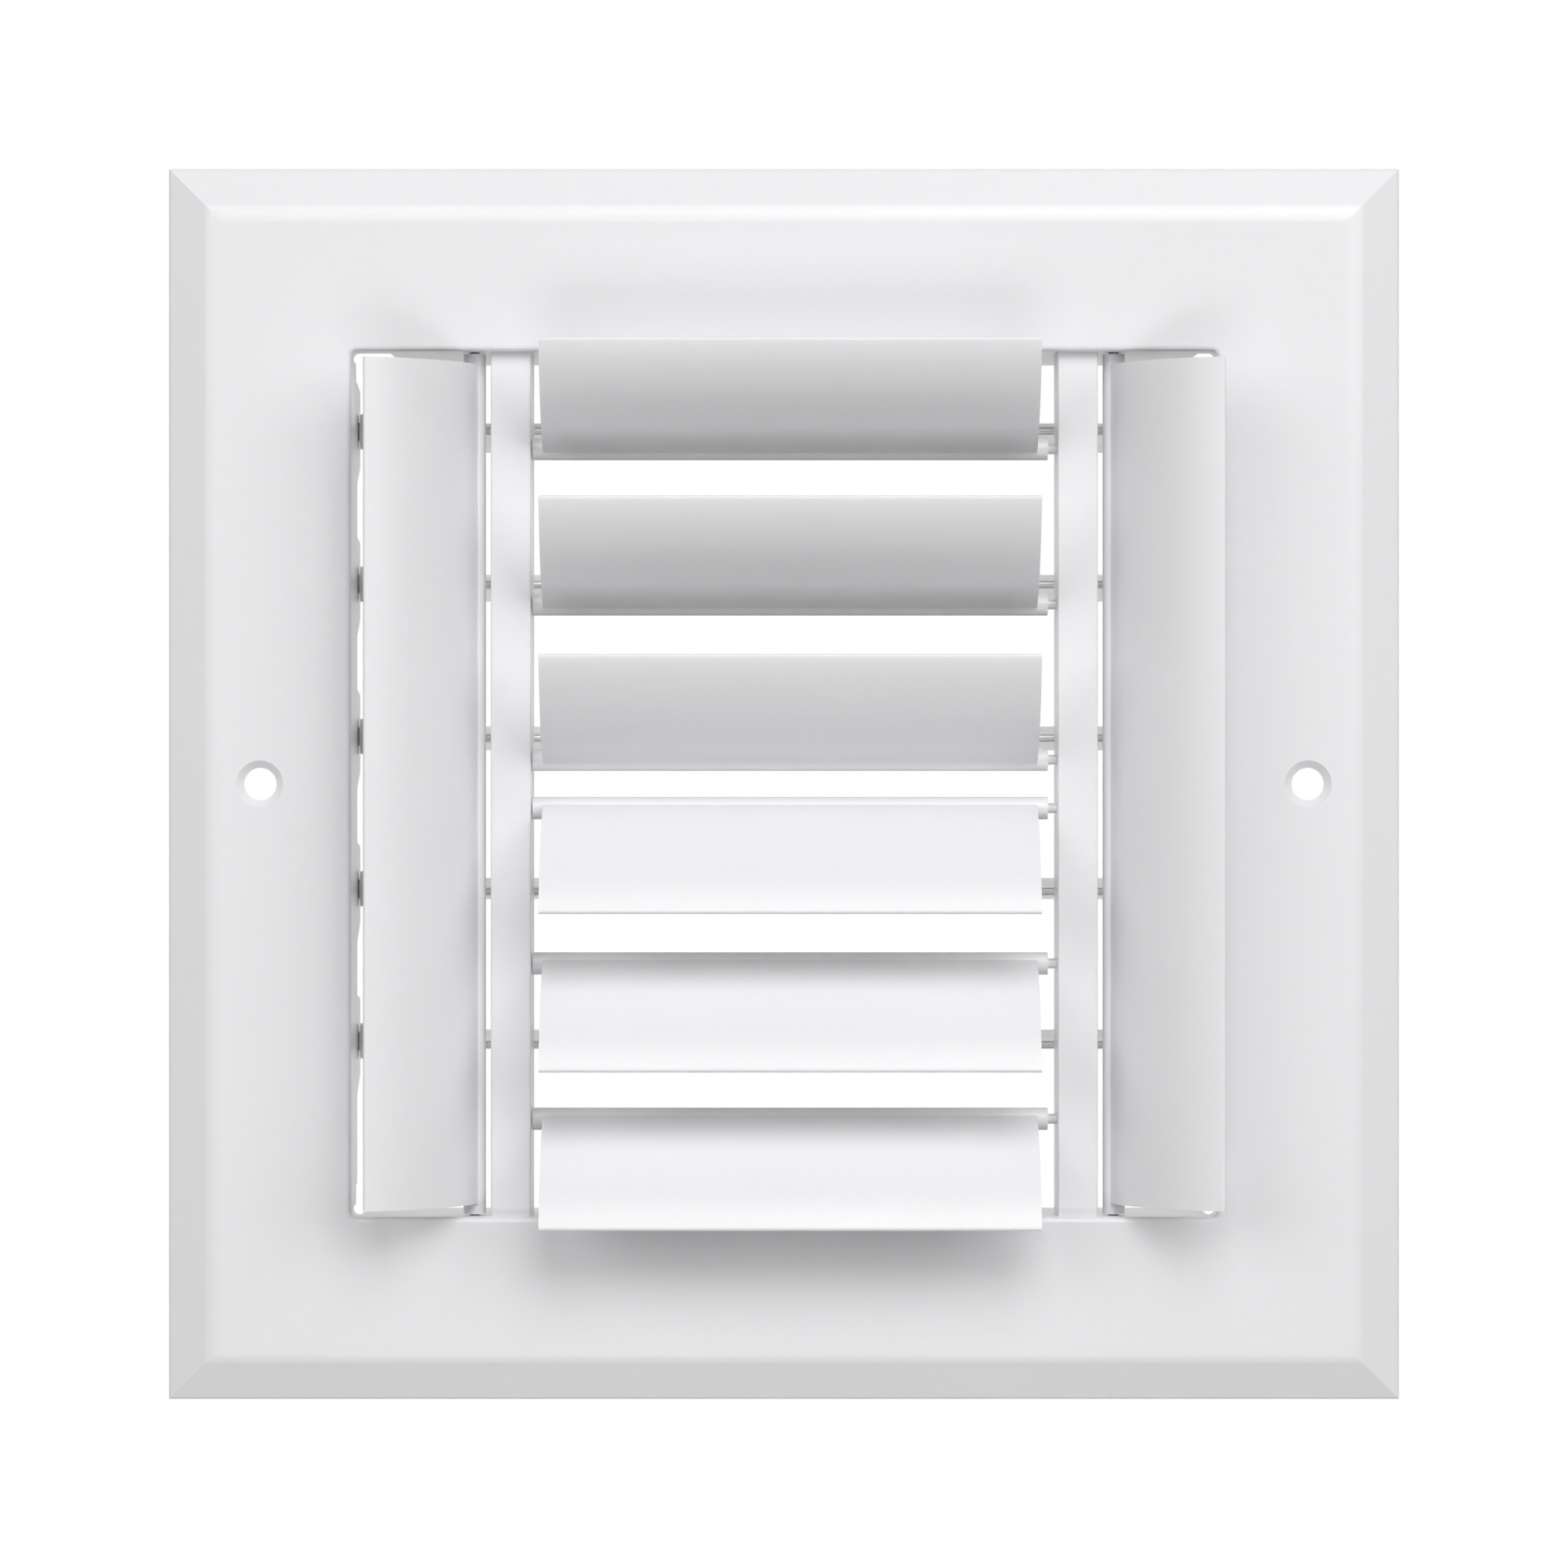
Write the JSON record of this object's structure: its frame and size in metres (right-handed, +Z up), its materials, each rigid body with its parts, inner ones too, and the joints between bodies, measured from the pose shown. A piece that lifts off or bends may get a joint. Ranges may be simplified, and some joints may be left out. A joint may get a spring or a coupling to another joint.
{
  "type": "vent register",
  "caption": "Square white wall or ceiling air register: bevelled face frame, adjustable curved blades turned up, down and sideways, and a linked shutter damper behind.",
  "frame": {"origin": "middle of the duct opening, on the wall plane that the rim rests against", "axes": "+X to the right seen from the room, +Y into the wall, +Z up"},
  "size_m": [0.1976, 0.0654, 0.1976],
  "materials": {
    "white_coat": "satin white powder coat",
    "mill_aluminium": "plain rolled sheet",
    "grey_nylon": "moulded",
    "zinc_steel": "zinc plated"
  },
  "bodies": {
    "frame": {"face_frame": "white_coat", "mullion_left": "white_coat", "mullion_right": "white_coat", "mullion_screws": "zinc_steel"},
    "centre_blade_1_body": {"centre_blade_1": "white_coat", "centre_blade_1_pins": "white_coat"},
    "centre_blade_2_body": {"centre_blade_2": "white_coat", "centre_blade_2_pins": "white_coat"},
    "centre_blade_3_body": {"centre_blade_3": "white_coat", "centre_blade_3_pins": "white_coat"},
    "centre_blade_4_body": {"centre_blade_4": "white_coat", "centre_blade_4_pins": "white_coat"},
    "centre_blade_5_body": {"centre_blade_5": "white_coat", "centre_blade_5_pins": "white_coat"},
    "centre_blade_6_body": {"centre_blade_6": "white_coat", "centre_blade_6_pins": "white_coat"},
    "side_blade_left_body": {"side_blade_left": "white_coat", "side_blade_left_pins": "white_coat"},
    "side_blade_right_body": {"side_blade_right": "white_coat", "side_blade_right_pins": "white_coat"},
    "damper_1": {"damper_blade_1": "mill_aluminium", "damper_bushes_1": "grey_nylon"},
    "damper_2": {"damper_blade_2": "mill_aluminium", "damper_bushes_2": "grey_nylon"},
    "damper_3": {"damper_blade_3": "mill_aluminium", "damper_bushes_3": "grey_nylon", "damper_lever": "grey_nylon"},
    "damper_4": {"damper_blade_4": "mill_aluminium", "damper_bushes_4": "grey_nylon"},
    "damper_5": {"damper_blade_5": "mill_aluminium", "damper_bushes_5": "grey_nylon"},
    "tie": {"tie_bar": "zinc_steel", "tie_rivets": "zinc_steel"}
  },
  "joints": [
    {"name": "centre_blade_1_tilt", "type": "hinge", "parent": "frame", "child": "centre_blade_1_body", "pos_m": [0.00165, 0.001, 0.05389], "axis": [1, 0, 0], "range_deg": [-30, 36]},
    {"name": "centre_blade_2_tilt", "type": "hinge", "parent": "frame", "child": "centre_blade_2_body", "pos_m": [0.00165, 0.001, 0.02889], "axis": [1, 0, 0], "range_deg": [-30, 36]},
    {"name": "centre_blade_3_tilt", "type": "hinge", "parent": "frame", "child": "centre_blade_3_body", "pos_m": [0.00165, 0.001, 0.00389], "axis": [1, 0, 0], "range_deg": [-30, 36]},
    {"name": "centre_blade_4_tilt", "type": "hinge", "parent": "frame", "child": "centre_blade_4_body", "pos_m": [0.00165, 0.001, -0.00389], "axis": [-1, 0, 0], "range_deg": [-30, 36]},
    {"name": "centre_blade_5_tilt", "type": "hinge", "parent": "frame", "child": "centre_blade_5_body", "pos_m": [0.00165, 0.001, -0.02889], "axis": [-1, 0, 0], "range_deg": [-30, 36]},
    {"name": "centre_blade_6_tilt", "type": "hinge", "parent": "frame", "child": "centre_blade_6_body", "pos_m": [0.00165, 0.001, -0.05389], "axis": [-1, 0, 0], "range_deg": [-30, 36]},
    {"name": "side_blade_left_tilt", "type": "hinge", "parent": "frame", "child": "side_blade_left_body", "pos_m": [-0.04978, 0.001, 0], "axis": [0, 0, 1], "range_deg": [-30, 36]},
    {"name": "side_blade_right_tilt", "type": "hinge", "parent": "frame", "child": "side_blade_right_body", "pos_m": [0.05308, 0.001, 0], "axis": [0, 0, -1], "range_deg": [-30, 36]},
    {"name": "damper_1_swing", "type": "hinge", "parent": "frame", "child": "damper_1", "pos_m": [0, 0.021, 0.0578], "axis": [-1, 0, 0], "range_deg": [0, 81]},
    {"name": "damper_2_swing", "type": "hinge", "parent": "frame", "child": "damper_2", "pos_m": [0, 0.021, 0.0328], "axis": [-1, 0, 0], "range_deg": [0, 81]},
    {"name": "damper_3_swing", "type": "hinge", "parent": "frame", "child": "damper_3", "pos_m": [0, 0.021, 0.0078], "axis": [-1, 0, 0], "range_deg": [0, 81]},
    {"name": "damper_4_swing", "type": "hinge", "parent": "frame", "child": "damper_4", "pos_m": [0, 0.021, -0.0172], "axis": [-1, 0, 0], "range_deg": [0, 81]},
    {"name": "damper_5_swing", "type": "hinge", "parent": "frame", "child": "damper_5", "pos_m": [0, 0.021, -0.0422], "axis": [-1, 0, 0], "range_deg": [0, 81]},
    {"name": "tie_turn", "type": "hinge", "parent": "damper_3", "child": "tie", "pos_m": [0.061, 0.038, 0.0104], "axis": [-1, 0, 0], "range_deg": [-81, 0]}
  ],
  "couplings": [
    {"joint": "damper_1_swing", "follows": "damper_3_swing", "ratio": 1},
    {"joint": "damper_2_swing", "follows": "damper_3_swing", "ratio": 1},
    {"joint": "damper_4_swing", "follows": "damper_3_swing", "ratio": 1},
    {"joint": "damper_5_swing", "follows": "damper_3_swing", "ratio": 1},
    {"joint": "tie_turn", "follows": "damper_3_swing", "ratio": -1}
  ]
}
